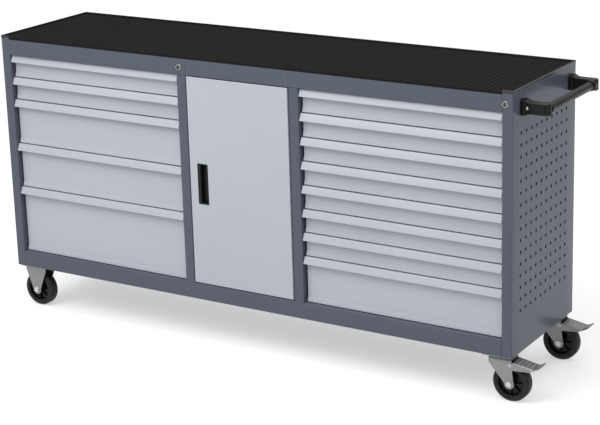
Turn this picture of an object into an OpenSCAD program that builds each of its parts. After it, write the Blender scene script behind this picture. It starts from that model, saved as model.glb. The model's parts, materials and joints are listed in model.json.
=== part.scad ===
// Mobile workshop bench: two drawer cabinets joined by a door bay, on four casters.
// X runs along the bench to the push-handle end, Y from front to back, Z up from the floor.
// The origin lies on the floor under the middle of the whole outline.

/* [Body] */
// Width of the steel body
body_w = 1985; // [1900:5:2100]
// Depth of the steel body
body_d = 475; // [460:5:520]
// Height of the steel body, casters left out
body_h = 845; // [780:5:900]
// Thickness of the body sheet
sheet = 1.5; // [1:0.1:2]
// Width of each upright post
post_w = 35; // [32:1:45]
// Width of the door bay between its posts
door_bay_w = 405; // [380:5:450]
// Height of the top fascia, up to the post tops
fascia_h = 60; // [55:1:70]
// Height of the bottom rail
rail_h = 58; // [45:1:70]

/* [Worktop] */
// Step from the post tops down to the steel deck
deck_drop = 5; // [4:0.5:8]
// Thickness of the rubber mat
mat_t = 9; // [8:0.5:11]
// Height of the edge trim over the post tops
rim_h = 9; // [7:0.5:14]
// Wall of the edge trim
rim_wall = 3; // [2:0.5:4]

/* [Side panels] */
// Spacing of the square peg holes
peg_pitch = 38; // [38:1:40]
// Width of one peg hole
peg_hole = 10; // [8:0.5:10]
// Peg holes from front to back
peg_columns = 10; // [6:1:10]
// Peg holes from top to bottom
peg_rows = 16; // [8:1:16]

/* [Drawers] */
// Gap between two drawer fronts
front_gap = 3; // [2:0.5:5]
// Depth of a drawer tray
tray_d = 410; // [360:5:410]
// Sheet of a drawer tray
tray_sheet = 1.2; // [0.8:0.1:1.5]
// Set-back of a drawer face behind the posts
face_back = 19; // [15:1:24]
// Height of the sloping grip lip
lip_h = 24; // [20:1:28]

/* [Door] */
// Depth of the folded door
door_d = 18; // [16:1:22]
// Width of the recessed pull
pull_w = 38; // [34:1:50]
// Height of the recessed pull
pull_h = 138; // [100:1:160]

/* [Handle] */
// Diameter of the handle bar
bar_dia = 28; // [24:1:30]
// Reach of the handle past the side panel
handle_reach = 96; // [90:1:120]

/* [Casters] */
// Wheel diameter
wheel_dia = 125; // [100:1:125]
// Height of a whole caster
caster_h = 155; // [150:1:165]
// Swivel offset between the turning axis and the axle
trail = 38; // [30:1:40]

/* [Hidden] */
$fn = 64;
LEFT_MODULES = [1, 1, 2, 2, 3];
RIGHT_MODULES = [1, 1, 1, 1, 1, 1, 1, 2];
CASTER_ENDS = ["front", "rear"];

// Body frame: x from the left side, y from the post faces, z from the floor
base_z = caster_h;
top_z = base_z + body_h;
bay_z0 = base_z + rail_h;
bay_z1 = top_z - fascia_h;
deck_z = top_z - deck_drop;
modules_high = 9;
module_h = (bay_z1 - bay_z0) / modules_high;
drawer_bay_w = (body_w - 4 * post_w - door_bay_w) / 2;
left_bay_x = post_w;
door_bay_x = left_bay_x + drawer_bay_w + post_w;
right_bay_x = door_bay_x + door_bay_w + post_w;
back_face = body_d - sheet;
liner_y = 25;
rib_d = 4;
rib_w = 40;
flange = 25;
back_y = back_face - rib_d - sheet;
lock_proud = 3.5;
origin = [(body_w + handle_reach) / 2, (body_d - lock_proud) / 2, 0];

// Edge trim and worktop
trim_w = post_w;
trim_t = 1.5;
mat_gap = 0.5;
lap_gap = 0.2;
deck_t = 2;

// Drawers and runners
lip_inset = 2.5;
face_inset = lip_inset + 4;
lip_top_back = 10;
lip_nose_back = 0.5;
lip_hem = 3;
flare = 6;
flare_h = 20;
front_fold = 12;
tray_y = face_back + front_fold;
tray_lift = 8;
tray_share = 0.72;
hem = 5;
runner_w = 14;
rail_out_w = 11;
rail_in_w = 10;
rail_out_h = 28;
rail_in_h = 22;
rail_lift = 28;
rail_y = tray_y + 3;
rail_len = 416;
slide_y = tray_y + 9;
slide_len = 398;
wall_back = rail_y + rail_len;

// Door
door_gap = 3;
door_hinge_gap = 6;
door_x0 = door_bay_x + door_gap;
door_x1 = door_bay_x + door_bay_w - door_hinge_gap;
door_z0 = bay_z0 + door_gap;
door_z1 = bay_z1 - door_gap;
hinge_x = door_x1 - 8;
hinge_y = door_d / 2;
hinge_pin_r = 3;
hinge_pin_l = 13;
run_gap = 0.05;
pull_x = door_x0 + 33;
pull_z = base_z + 347;
pull_wall = 2;
pull_depth = 16;
pull_bezel = 2;
shelf_z = bay_z0 + 350;

// Locks
lock_z = top_z - 35;
lock_x = [left_bay_x + drawer_bay_w + 10, right_bay_x + drawer_bay_w + 10];
lock_r = 8;
plug_r = 6;
collar_r = 12;
barrel_l = 20;
cam_l = 20;
cam_w = 10;

// Handle
handle_z = base_z + 791;
arm_y = [72, 433];
collar_wall = 3.5;
bar_x = body_w + handle_reach - bar_dia / 2 - collar_wall;
arm_w = 32;
arm_h = 36;
foot_w = 42;
foot_h = 48;
foot_t = 14;
foot_flare = 16;
collar_l = 12;

// Casters
wheel_r = wheel_dia / 2;
tyre_w = 38;
rim_r = 47;
hub_r = 14;
hub_l = 42;
axle_r = 6;
fork_gap = 44;
fork_t = 3;
plate_x = 105;
plate_y = 85;
plate_t = 3;
bolt_x = 80;
bolt_y = 60;
bolt_r = 4.5;
nut_r = 11;
nut_h = 7;
fixed_x = 66;
swivel_x = body_w - 55;
caster_y = [45, 430];
crown_z = caster_h - 16;
pedal_t = 3;
pedal_gap = 0.4;
pedal_y = [fork_gap / 2 + fork_t + pedal_gap, fork_gap / 2 + fork_t + pedal_gap + pedal_t];
pedal_pivot = [trail + 3, crown_z - 13];
pedal_rear = [trail + 14, crown_z - 3];
pedal_nose = [trail + 82, crown_z - 15];
pedal_tip = [trail + 102, crown_z - 5];

// ---- Folded sheet ----

// Left-hand unit normal of the segment from a to b
function normal_of(a, b) = [a[1] - b[1], b[0] - a[0]] / norm(b - a);

// Mitred offset direction at corner i of a path
function mitre(path, i) =
    let (
        last = len(path) - 1,
        before = normal_of(path[max(i - 1, 0)], path[max(i, 1)]),
        after = normal_of(path[min(i, last - 1)], path[min(i + 1, last)])
    )
    (before + after) / (1 + before * after);

// Outline of a sheet of thickness t that follows a path, grown to the path's left
function folded(path, t) = concat(
    path,
    [for (i = [len(path) - 1:-1:0]) path[i] + t * mitre(path, i)]
);

// A (y, z) outline carried along X
module along_x(x0, x1, outline) {
    translate([x0, 0, 0])
        rotate([90, 0, 90])
            linear_extrude(x1 - x0)
                polygon(outline);
}

// An (x, z) outline carried along Y
module along_y(y0, y1, outline) {
    translate([0, y1, 0])
        rotate([90, 0, 0])
            linear_extrude(y1 - y0)
                polygon(outline);
}

// An (x, y) outline carried along Z
module along_z(z0, z1, outline) {
    translate([0, 0, z0])
        linear_extrude(z1 - z0)
            polygon(outline);
}

// A box from its low corner to its high corner
module box(low, high) {
    translate(low)
        cube(high - low);
}

// A round bar along Y
module bar_y(x, z, y0, y1, r) {
    translate([x, y1, z])
        rotate([90, 0, 0])
            cylinder(h = y1 - y0, r = r);
}

// Everything is drawn in the body frame, then moved so that the origin is under the middle
module place() {
    translate(-origin)
        children();
}

// Mirror about the middle of the body, for the left-hand twin of a right-hand piece
module mirror_body() {
    translate([body_w, 0, 0])
        mirror([1, 0, 0])
            children();
}

// ---- Carcass ----

peg_y0 = 62;
peg_z_top = base_z + 711;

// Outer skin with square peg holes
module peg_skin() {
    rotate([90, 0, 90])
        linear_extrude(sheet)
            difference() {
                translate([0, base_z])
                    square([body_d, body_h]);
                for (c = [0:peg_columns - 1], r = [0:peg_rows - 1])
                    translate([peg_y0 + c * peg_pitch, peg_z_top - r * peg_pitch])
                        square(peg_hole, center = true);
            }
}

// One side: perforated skin, front post, rear fold, top and bottom flanges
module side_shell() {
    peg_skin();
    along_z(base_z, top_z, folded([[sheet, 0], [post_w, 0], [post_w, liner_y]], sheet));
    along_z(base_z, top_z, folded([[flange, body_d], [0, body_d]], sheet));
    for (z = [base_z, top_z - sheet])
        box([0, 0, z], [post_w, back_y, z + sheet]);
}

module side_left() {
    color("slategray")
        place()
            side_shell();
}

module side_right() {
    color("slategray")
        place()
            difference() {
                mirror_body()
                    side_shell();
                bar_y(lock_x[1], lock_z, -1, barrel_l, lock_r + run_gap);
            }
}

// Inner walls of the two sides, which carry the runners
module side_liner() {
    front = liner_y + 1;
    section = [[sheet, front], [post_w, front], [post_w, wall_back], [sheet, wall_back]];
    along_z(bay_z0, bay_z1, folded(section, sheet));
}

module side_liners() {
    color("silver")
        place() {
            side_liner();
            mirror_body()
                side_liner();
        }
}

// Back sheet with pressed upright ribs and a top flange under the edge trim
module back_panel() {
    right_cabinet_x = door_bay_x + door_bay_w;
    ribs = [door_bay_x / 2, door_bay_x, right_cabinet_x, (right_cabinet_x + body_w) / 2];
    section = concat(
        [[sheet, back_y]],
        [for (x = ribs) each [[x - rib_w / 2, back_y], [x - rib_w / 2 + rib_d, back_y + rib_d],
                              [x + rib_w / 2 - rib_d, back_y + rib_d], [x + rib_w / 2, back_y]]],
        [[body_w - sheet, back_y]]
    );
    color("slategray")
        place() {
            along_z(base_z, top_z, folded(section, sheet));
            box([post_w, body_d - trim_w, top_z - sheet], [body_w - post_w, back_y + sheet, top_z]);
        }
}

// Closed box floor between the outer posts: bottom rail, underside and bay floor
module base_box() {
    color("slategray")
        place()
            difference() {
                box([post_w, 0, base_z], [body_w - post_w, back_y, bay_z0]);
                box([post_w - 1, sheet, base_z + sheet],
                    [body_w - post_w + 1, back_y - sheet, bay_z0 - sheet]);
            }
}

// Steel deck under the mat, with a rear fold and two stiffening channels
module top_deck() {
    rear = body_d - trim_w - 1;
    rear_fold = 30;
    channel_w = 60;
    channel_h = 22;
    color("slategray")
        place() {
            along_x(post_w, body_w - post_w,
                folded([[rear, deck_z - rear_fold], [rear, deck_z], [sheet, deck_z]], deck_t));
            for (y = [130, 310])
                along_x(post_w + 1, body_w - post_w - 1, folded(
                    [[y, deck_z - deck_t], [y, deck_z - channel_h], [y + channel_w, deck_z - channel_h],
                     [y + channel_w, deck_z - deck_t]], sheet));
        }
}

// Three fascia strips, one for each cabinet, with a lower return
module front_fascia() {
    seam = 0.6;
    spans = [[post_w, door_bay_x - seam], [door_bay_x, door_bay_x + door_bay_w - seam],
             [door_bay_x + door_bay_w, body_w - post_w]];
    color("slategray")
        place()
            difference() {
                for (s = spans)
                    along_x(s[0], s[1], folded([[0, deck_z], [0, bay_z1], [flange, bay_z1]], sheet));
                bar_y(lock_x[0], lock_z, -1, barrel_l, lock_r + run_gap);
            }
}

// Hollow post and wall between a drawer bay and the door bay
module partition(x) {
    difference() {
        box([x, 0, bay_z0], [x + post_w, wall_back, bay_z1]);
        box([x + sheet, sheet, bay_z0 - 1],
            [x + post_w - sheet, wall_back - sheet, bay_z1 + 1]);
    }
}

module partition_left() {
    color("slategray")
        place()
            partition(door_bay_x - post_w);
}

module partition_right() {
    color("slategray")
        place()
            partition(door_bay_x + door_bay_w);
}

// Folded shelf with down-turned front and rear edges
module cupboard_shelf() {
    front = door_d + 12;
    rear = wall_back - 2;
    edge = 20;
    color("lightgray")
        place()
            along_x(door_bay_x + 0.5, door_bay_x + door_bay_w - 0.5,
                folded([[rear, shelf_z - edge], [rear, shelf_z], [front, shelf_z],
                        [front, shelf_z - edge]], sheet));
}

// ---- Drawers ----

// Sum of the modules above drawer i in a column
function modules_above(column, i) = i == 0 ? 0 : column[i - 1] + modules_above(column, i - 1);
function drawer_top(column, i) = bay_z1 - modules_above(column, i) * module_h - front_gap / 2;
function drawer_bottom(column, i) = drawer_top(column, i) - column[i] * module_h + front_gap;

// C channel fixed to a bay wall, open towards the drawer
module outer_rail(x, z) {
    section = [[x + rail_out_w, z + rail_out_h / 2], [x, z + rail_out_h / 2],
               [x, z - rail_out_h / 2], [x + rail_out_w, z - rail_out_h / 2]];
    along_y(rail_y, rail_y + rail_len, folded(section, sheet));
}

// The pair of outer rails of one drawer
module rail_pair(bay_x, z) {
    outer_rail(bay_x, z);
    translate([2 * bay_x + drawer_bay_w, 0, 0])
        mirror([1, 0, 0])
            outer_rail(bay_x, z);
}

module runners() {
    color("silver")
        place() {
            for (i = [0:len(LEFT_MODULES) - 1])
                rail_pair(left_bay_x, drawer_bottom(LEFT_MODULES, i) + rail_lift);
            for (i = [0:len(RIGHT_MODULES) - 1])
                rail_pair(right_bay_x, drawer_bottom(RIGHT_MODULES, i) + rail_lift);
        }
}

// Folded tray with hemmed sides, end walls and the moving members of its runners
module drawer_tray(bay_x, z0, z1) {
    x0 = bay_x + runner_w;
    x1 = bay_x + drawer_bay_w - runner_w;
    low = z0 + tray_lift;
    high = low + tray_share * (z1 - z0);
    y1 = tray_y + tray_d;
    rail_z = z0 + rail_lift;
    wall = [[x0 + hem, high], [x0, high], [x0, low], [x1, low], [x1, high], [x1 - hem, high]];
    slide = [[x0 - rail_in_w, rail_z + rail_in_h / 2], [x0, rail_z + rail_in_h / 2],
             [x0, rail_z - rail_in_h / 2], [x0 - rail_in_w, rail_z - rail_in_h / 2]];
    color("silver")
        place() {
            along_y(tray_y, y1, folded(wall, tray_sheet));
            for (y = [tray_y, y1 - tray_sheet])
                box([x0 + tray_sheet / 2, y, low],
                    [x1 - tray_sheet / 2, y + tray_sheet, high - tray_sheet / 2]);
            slide_pair(bay_x, [for (i = [3:-1:0]) slide[i]]);
        }
}

// The moving runner members on both sides of a tray
module slide_pair(bay_x, section) {
    along_y(slide_y, slide_y + slide_len, folded(section, sheet));
    translate([2 * bay_x + drawer_bay_w, 0, 0])
        mirror([1, 0, 0])
            along_y(slide_y, slide_y + slide_len, folded(section, sheet));
}

// Folded front: flared foot, flat face and a wider sloping lip with finger room behind it
module drawer_front(bay_x, z0, z1) {
    x0 = bay_x + face_inset;
    x1 = bay_x + drawer_bay_w - face_inset;
    face = [[tray_y, z0], [face_back - flare, z0], [face_back, z0 + flare_h], [face_back, z1 - sheet]];
    lip = [[face_back + sheet, z1], [lip_top_back, z1], [lip_nose_back, z1 - lip_h],
           [lip_nose_back + lip_hem, z1 - lip_h - 1]];
    color("gainsboro")
        place() {
            along_x(x0, x1, folded([for (i = [3:-1:0]) face[i]], sheet));
            along_x(bay_x + lip_inset, bay_x + drawer_bay_w - lip_inset, folded(lip, sheet));
            for (x = [x0, x1 - sheet])
                box([x, face_back + sheet / 2, z0 + sheet / 2],
                    [x + sheet, tray_y, z1 - sheet / 2]);
        }
}

// ---- Worktop ----

// Edge trim: a flat leg over the flanges, with an upstand on the outside
module top_rim() {
    color([0.06, 0.06, 0.06])
        place() {
            for (x = [0, body_w - trim_w])
                box([x, 0, top_z], [x + trim_w, body_d, top_z + trim_t]);
            box([trim_w / 2, body_d - trim_w, top_z], [body_w - trim_w / 2, body_d, top_z + trim_t]);
            for (x = [0, body_w - rim_wall])
                box([x, 0, top_z], [x + rim_wall, body_d, top_z + rim_h]);
            box([0, body_d - rim_wall, top_z], [body_w, body_d, top_z + rim_h]);
            for (x = [0, body_w - trim_w])
                box([x, 0, top_z], [x + trim_w, rim_wall, top_z + rim_h]);
        }
}

// Mat: the middle lies on the deck, and a thin border laps over the legs of the trim
module rubber_mat() {
    mat_top = deck_z + mat_t;
    border = rim_wall + mat_gap;
    color([0.1, 0.1, 0.1])
        place() {
            box([post_w + mat_gap, mat_gap, deck_z],
                [body_w - post_w - mat_gap, body_d - trim_w - mat_gap, mat_top]);
            box([border, border, top_z + trim_t + lap_gap], [body_w - border, body_d - border, mat_top]);
        }
}

// ---- Door ----

module door_panel() {
    color("gainsboro")
        place()
            difference() {
                box([door_x0, 0, door_z0], [door_x1, door_d, door_z1]);
                box([door_x0 + sheet, sheet, door_z0 + sheet],
                    [door_x1 - sheet, door_d + 1, door_z1 - sheet]);
                box([pull_x, -1, pull_z], [pull_x + pull_w, door_d / 2, pull_z + pull_h]);
                translate([hinge_x, hinge_y, door_z0 - 1])
                    cylinder(h = door_z1 - door_z0 + 2, r = hinge_pin_r + run_gap);
            }
}

// Recessed pull: a cup with a thin bezel and a finger lip on the side away from the hinge
module door_pull() {
    lip = 8;
    color([0.08, 0.08, 0.08])
        place()
            difference() {
                union() {
                    box([pull_x - pull_bezel, -1, pull_z - pull_bezel],
                        [pull_x + pull_w + pull_bezel, 0, pull_z + pull_h + pull_bezel]);
                    box([pull_x, -1, pull_z], [pull_x + pull_w, pull_depth, pull_z + pull_h]);
                }
                box([pull_x + pull_wall, 3, pull_z + pull_wall],
                    [pull_x + pull_w - pull_wall, pull_depth - pull_wall, pull_z + pull_h - pull_wall]);
                box([pull_x + pull_wall + lip, -2, pull_z + pull_wall],
                    [pull_x + pull_w - pull_wall, 4, pull_z + pull_h - pull_wall]);
            }
}

module door_hinge_pins() {
    color("silver")
        place()
            for (z = [bay_z0, bay_z1 - hinge_pin_l])
                translate([hinge_x, hinge_y, z])
                    cylinder(h = hinge_pin_l, r = hinge_pin_r);
}

// ---- Locks ----

module lock_housings() {
    color("silver")
        place()
            for (x = lock_x)
                difference() {
                    union() {
                        bar_y(x, lock_z, -lock_proud, 0, collar_r);
                        bar_y(x, lock_z, -lock_proud, barrel_l, lock_r);
                    }
                    bar_y(x, lock_z, -lock_proud - 1, barrel_l + 1, plug_r + run_gap);
                }
}

// Key plug with a slot in its face and a cam behind the barrel
module lock_plug(x) {
    cam_gap = 0.5;
    cam_t = 2;
    slot_h = 8;
    slot_w = 1.6;
    color("silver")
        place()
            difference() {
                union() {
                    bar_y(x, lock_z, -lock_proud + 0.5, barrel_l + cam_gap + cam_t, plug_r);
                    box([x - cam_w / 2, barrel_l + cam_gap, lock_z - cam_l],
                        [x + cam_w / 2, barrel_l + cam_gap + cam_t, lock_z]);
                }
                box([x - slot_w / 2, -lock_proud, lock_z - slot_h / 2],
                    [x + slot_w / 2, 6, lock_z + slot_h / 2]);
            }
}

module lock_plug_left() {
    lock_plug(lock_x[0]);
}

module lock_plug_right() {
    lock_plug(lock_x[1]);
}

// ---- Push handle ----

// Block foot on the side panel, flared into a box arm with a round end, and a collar that holds the bar
module handle_bracket(y, inward) {
    socket = arm_w / 2 + collar_l;
    socket_y = min(y, y + inward * socket);
    foot_x = body_w + foot_t;
    half = foot_h / 2;
    flare_x = foot_x + foot_flare;
    web = [[body_w, handle_z - half], [foot_x, handle_z - half], [flare_x, handle_z - arm_h / 2],
           [flare_x, handle_z + arm_h / 2], [foot_x, handle_z + half], [body_w, handle_z + half]];
    color([0.1, 0.1, 0.1])
        place()
            difference() {
                union() {
                    box([body_w, y - foot_w / 2, handle_z - foot_h / 2],
                        [body_w + foot_t, y + foot_w / 2, handle_z + foot_h / 2]);
                    along_y(y - arm_w / 2, y + arm_w / 2, web);
                    box([body_w, y - arm_w / 2, handle_z - arm_h / 2],
                        [bar_x, y + arm_w / 2, handle_z + arm_h / 2]);
                    translate([bar_x, y, handle_z - arm_h / 2])
                        cylinder(h = arm_h, r = arm_w / 2);
                    bar_y(bar_x, handle_z, socket_y, socket_y + socket, bar_dia / 2 + collar_wall);
                }
                bar_y(bar_x, handle_z, socket_y + min(inward, 0), socket_y + socket + max(inward, 0),
                    bar_dia / 2);
            }
}

module handle_bracket_front() {
    handle_bracket(arm_y[0], 1);
}

module handle_bracket_rear() {
    handle_bracket(arm_y[1], -1);
}

module handle_bar() {
    wall = 2;
    color([0.12, 0.12, 0.12])
        place()
            difference() {
                bar_y(bar_x, handle_z, arm_y[0], arm_y[1], bar_dia / 2);
                bar_y(bar_x, handle_z, arm_y[0] - 1, arm_y[1] + 1, bar_dia / 2 - wall);
            }
}

// One pan screw in the outer face of each arm
module handle_screws() {
    head_r = 5;
    head_h = 3;
    arm_screw_x = body_w + 21;
    color("silver")
        place()
            for (k = [0, 1]) {
                outward = k == 0 ? -1 : 1;
                face_y = arm_y[k] + outward * arm_w / 2;
                bar_y(arm_screw_x, handle_z, min(face_y, face_y + outward * head_h),
                    max(face_y, face_y + outward * head_h), head_r);
            }
}

// ---- Casters ----

// Bolting plate in its own frame: z = 0 is the top face
module caster_plate() {
    difference() {
        translate([-plate_x / 2, -plate_y / 2, -plate_t])
            cube([plate_x, plate_y, plate_t]);
        for (x = [-1, 1], y = [-1, 1])
            translate([x * bolt_x / 2, y * bolt_y / 2, -plate_t - 1])
                cylinder(h = plate_t + 2, r = bolt_r);
    }
}

// One fork leg: a tapered plate from the crown down to a round eye at the axle
module fork_leg(top_x0, top_x1, axle_x, top, y0) {
    eye = 17;
    reach = 15.5;
    skirt = 16;
    axle_z = wheel_r;
    difference() {
        union() {
            along_y(y0, y0 + fork_t, [[top_x0, top], [top_x0, top - skirt], [axle_x - reach, axle_z],
                                      [axle_x + reach, axle_z], [top_x1, top - skirt], [top_x1, top]]);
            bar_y(axle_x, axle_z, y0, y0 + fork_t, eye);
        }
        bar_y(axle_x, axle_z, y0 - 1, y0 + fork_t + 1, axle_r);
    }
}

// Axle bolt with a hexagon head and nut outside the legs
module axle_bolt(axle_x) {
    half = fork_gap / 2 + fork_t;
    bar_y(axle_x, wheel_r, -half, half, axle_r);
    for (y = [-half - nut_h, half])
        translate([axle_x, y + nut_h, wheel_r])
            rotate([90, 0, 0])
                cylinder(h = nut_h, r = nut_r, $fn = 6);
}

// Fixed forks of the left-hand casters
module fixed_caster_forks() {
    top_half = 44;
    color("lightgray")
        place()
            for (y = caster_y)
                translate([fixed_x, y, 0]) {
                    translate([0, 0, caster_h])
                        caster_plate();
                    for (leg_y = [-fork_gap / 2 - fork_t, fork_gap / 2])
                        fork_leg(-top_half, top_half, 0, caster_h - plate_t, leg_y);
                    axle_bolt(0);
                }
}

// Fixed plates of the right-hand casters, each with its bearing boss and king pin
module swivel_caster_plates() {
    boss_r = 27;
    boss_h = 9.5;
    pin_l = 22;
    head_h = 3;
    color("lightgray")
        place()
            for (y = caster_y)
                translate([swivel_x, y, caster_h]) {
                    caster_plate();
                    translate([0, 0, -plate_t - boss_h])
                        cylinder(h = boss_h, r = boss_r);
                    translate([0, 0, -pin_l])
                        cylinder(h = pin_l - plate_t, r = axle_r);
                    translate([0, 0, -pin_l])
                        cylinder(h = head_h, r = 10);
                }
}

// Turning fork: crown, two trailing legs, axle bolt and pedal pin
module swivel_fork(y) {
    crown_t = 3;
    crown_r = 33;
    pin_r = 3;
    head_r = 5.5;
    head_y = pedal_y[1] + pedal_gap;
    head_t = 1.6;
    color("lightgray")
        place()
            translate([swivel_x, y, 0]) {
                difference() {
                    union() {
                        translate([0, 0, crown_z])
                            cylinder(h = crown_t, r = crown_r);
                        translate([-crown_r, -fork_gap / 2 - fork_t, crown_z])
                            cube([2 * crown_r, fork_gap + 2 * fork_t, crown_t]);
                    }
                    translate([0, 0, crown_z - 1])
                        cylinder(h = crown_t + 2, r = axle_r + run_gap);
                }
                for (leg_y = [-fork_gap / 2 - fork_t, fork_gap / 2])
                    fork_leg(-crown_r, trail + 8, trail, crown_z + crown_t, leg_y);
                axle_bolt(trail);
                for (side = [0, 1])
                    mirror([0, side, 0]) {
                        bar_y(pedal_pivot[0], pedal_pivot[1], fork_gap / 2, head_y + head_t, pin_r);
                        bar_y(pedal_pivot[0], pedal_pivot[1], head_y, head_y + head_t, head_r);
                    }
            }
}

module swivel_fork_front() {
    swivel_fork(caster_y[0]);
}

module swivel_fork_rear() {
    swivel_fork(caster_y[1]);
}

// Foot pedal: a channel open downwards, whose cheeks turn on the fork's stub pins, with a ribbed tread
// and an up-turned tip
module brake_pedal(y) {
    ear_r = 9;
    low_rear = [trail + 8, crown_z - 30];
    low_front = [trail + 72, crown_z - 25];
    behind = pedal_pivot - [7, 5.7];
    cheek = [pedal_pivot + [0, ear_r], pedal_rear, pedal_nose, low_front, low_rear, behind];
    along = (pedal_rear - pedal_nose) / norm(pedal_rear - pedal_nose);
    down = normal_of(pedal_nose, pedal_rear);
    grip_ribs = 4;
    grip_pitch = 12;
    grip_w = 3;
    grip = [[0, 0.5], [grip_w, 0.5], [grip_w, -1], [0, -1]];
    color("lightgray")
        place()
            translate([swivel_x, y, 0])
                difference() {
                    union() {
                        along_y(-pedal_y[1], pedal_y[1],
                            folded([pedal_tip, pedal_nose, pedal_rear], pedal_t));
                        for (k = [1:grip_ribs]) {
                            start = pedal_nose + k * grip_pitch * along;
                            along_y(-pedal_y[0], pedal_y[0], [for (g = grip) start + g[0] * along + g[1] * down]);
                        }
                        for (side = [0, 1])
                            mirror([0, side, 0]) {
                                along_y(pedal_y[0], pedal_y[1], cheek);
                                bar_y(pedal_pivot[0], pedal_pivot[1], pedal_y[0], pedal_y[1], ear_r);
                            }
                    }
                    bar_y(pedal_pivot[0], pedal_pivot[1], -pedal_y[1] - 1, pedal_y[1] + 1, 3 + run_gap);
                }
}

module brake_pedal_front() {
    brake_pedal(caster_y[0]);
}

module brake_pedal_rear() {
    brake_pedal(caster_y[1]);
}

// Solid rubber tyre on a plastic wheel centre, bored for the axle
module wheel(x, y) {
    web_t = 12;
    shoulder = 5;
    half = tyre_w / 2;
    bead = 0.1;
    band = rim_r - 6;
    bore = axle_r + run_gap;
    rim = half - 1;
    tyre = [[rim_r + bead, -half], [wheel_r - shoulder, -half], [wheel_r, -half + shoulder],
            [wheel_r, half - shoulder], [wheel_r - shoulder, half], [rim_r + bead, half]];
    centre = [[bore, -hub_l / 2], [hub_r, -hub_l / 2], [hub_r, -web_t / 2], [band, -web_t / 2], [band, -rim],
              [rim_r, -rim], [rim_r, rim], [band, rim], [band, web_t / 2], [hub_r, web_t / 2],
              [hub_r, hub_l / 2], [bore, hub_l / 2]];
    color([0.13, 0.13, 0.14])
        place()
            translate([x, y, wheel_r])
                rotate([90, 0, 0]) {
                    rotate_extrude()
                        polygon(tyre);
                    rotate_extrude()
                        polygon(centre);
                }
}

module wheel_at(side, end) {
    wheel(side == "left" ? fixed_x : swivel_x + trail, end == "front" ? caster_y[0] : caster_y[1]);
}

side_left();
side_right();
side_liners();
back_panel();
base_box();
top_deck();
front_fascia();
partition_left();
partition_right();
cupboard_shelf();
runners();
top_rim();
rubber_mat();
for (i = [0:len(LEFT_MODULES) - 1]) {
    z0 = drawer_bottom(LEFT_MODULES, i);
    z1 = drawer_top(LEFT_MODULES, i);
    drawer_tray(left_bay_x, z0, z1);
    drawer_front(left_bay_x, z0, z1);
}
for (i = [0:len(RIGHT_MODULES) - 1]) {
    z0 = drawer_bottom(RIGHT_MODULES, i);
    z1 = drawer_top(RIGHT_MODULES, i);
    drawer_tray(right_bay_x, z0, z1);
    drawer_front(right_bay_x, z0, z1);
}
door_panel();
door_pull();
door_hinge_pins();
lock_housings();
lock_plug_left();
lock_plug_right();
handle_bracket_front();
handle_bracket_rear();
handle_bar();
handle_screws();
fixed_caster_forks();
swivel_caster_plates();
swivel_fork_front();
swivel_fork_rear();
brake_pedal_front();
brake_pedal_rear();
for (side = ["left", "right"], end = CASTER_ENDS)
    wheel_at(side, end);
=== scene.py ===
import json
import math

import bmesh
import bpy
import numpy as np
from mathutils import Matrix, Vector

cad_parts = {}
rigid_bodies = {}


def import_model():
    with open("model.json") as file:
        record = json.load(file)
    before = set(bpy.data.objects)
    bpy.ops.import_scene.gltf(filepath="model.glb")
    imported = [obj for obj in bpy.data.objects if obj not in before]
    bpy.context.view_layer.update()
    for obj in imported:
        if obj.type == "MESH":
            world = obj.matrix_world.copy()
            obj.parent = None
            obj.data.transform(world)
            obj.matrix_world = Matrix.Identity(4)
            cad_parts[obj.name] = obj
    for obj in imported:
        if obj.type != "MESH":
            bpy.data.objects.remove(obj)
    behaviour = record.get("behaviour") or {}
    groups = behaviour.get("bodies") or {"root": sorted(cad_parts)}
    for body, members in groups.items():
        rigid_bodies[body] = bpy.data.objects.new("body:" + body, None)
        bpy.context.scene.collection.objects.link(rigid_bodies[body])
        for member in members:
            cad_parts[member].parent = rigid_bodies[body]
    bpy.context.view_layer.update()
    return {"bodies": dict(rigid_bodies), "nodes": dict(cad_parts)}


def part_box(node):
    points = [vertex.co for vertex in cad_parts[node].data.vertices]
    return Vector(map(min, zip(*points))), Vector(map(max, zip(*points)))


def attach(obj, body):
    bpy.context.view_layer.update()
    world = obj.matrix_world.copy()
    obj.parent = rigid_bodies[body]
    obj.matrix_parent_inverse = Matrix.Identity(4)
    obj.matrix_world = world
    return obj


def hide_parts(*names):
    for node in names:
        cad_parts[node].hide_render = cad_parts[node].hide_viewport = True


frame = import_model()
mm = 0.001


# ---- Sides ----
# Each side is one sheet of 1.5 mm steel: back flange, outer skin and front post are bent from it round
# 2.5 mm radii, and the skin is punched with a grid of square holes for tool hooks. Powder coated blue-grey.

def corners_of(node):
    """The lowest and highest corner of a CAD node, as two arrays."""
    low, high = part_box(node)
    return np.array(low), np.array(high)


def unit(vectors):
    """The vectors at length one."""
    return vectors / np.linalg.norm(vectors, axis=-1, keepdims=True)


def bent(path, radius, steps=6):
    """Every inner corner of a path gives way to an arc that touches both its sides. The arc's points are
    its centre plus the turn, at an even rate, of the arm to its first end into the arm to its last end."""
    path = np.asarray(path, float)
    corner = path[1:-1]
    before, after = unit(path[:-2] - corner), unit(path[2:] - corner)
    opening = np.arccos(np.clip((before * after).sum(1), -1, 1))
    radius = np.broadcast_to(radius, opening.shape)
    centre = corner + unit(before + after) * (radius / np.sin(opening / 2))[:, None]
    reach = (radius / np.tan(opening / 2))[:, None]
    first, last = corner + before * reach - centre, corner + after * reach - centre
    turn = (np.pi - opening)[:, None]
    share = np.linspace(0, 1, steps + 1)[:, None, None]
    arcs = centre + (np.sin((1 - share) * turn) * first + np.sin(share * turn) * last) / np.sin(turn)
    return np.vstack([path[:1], arcs.transpose(1, 0, 2).reshape(-1, path.shape[1]), path[-1:]])


def bent_loop(corners, radius, steps=6):
    """The same for a closed outline, whose every corner is rounded."""
    corners = np.asarray(corners, float)
    return bent(np.vstack([corners[-1:], corners, corners[:1]]), radius, steps)[1:-1]


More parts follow.
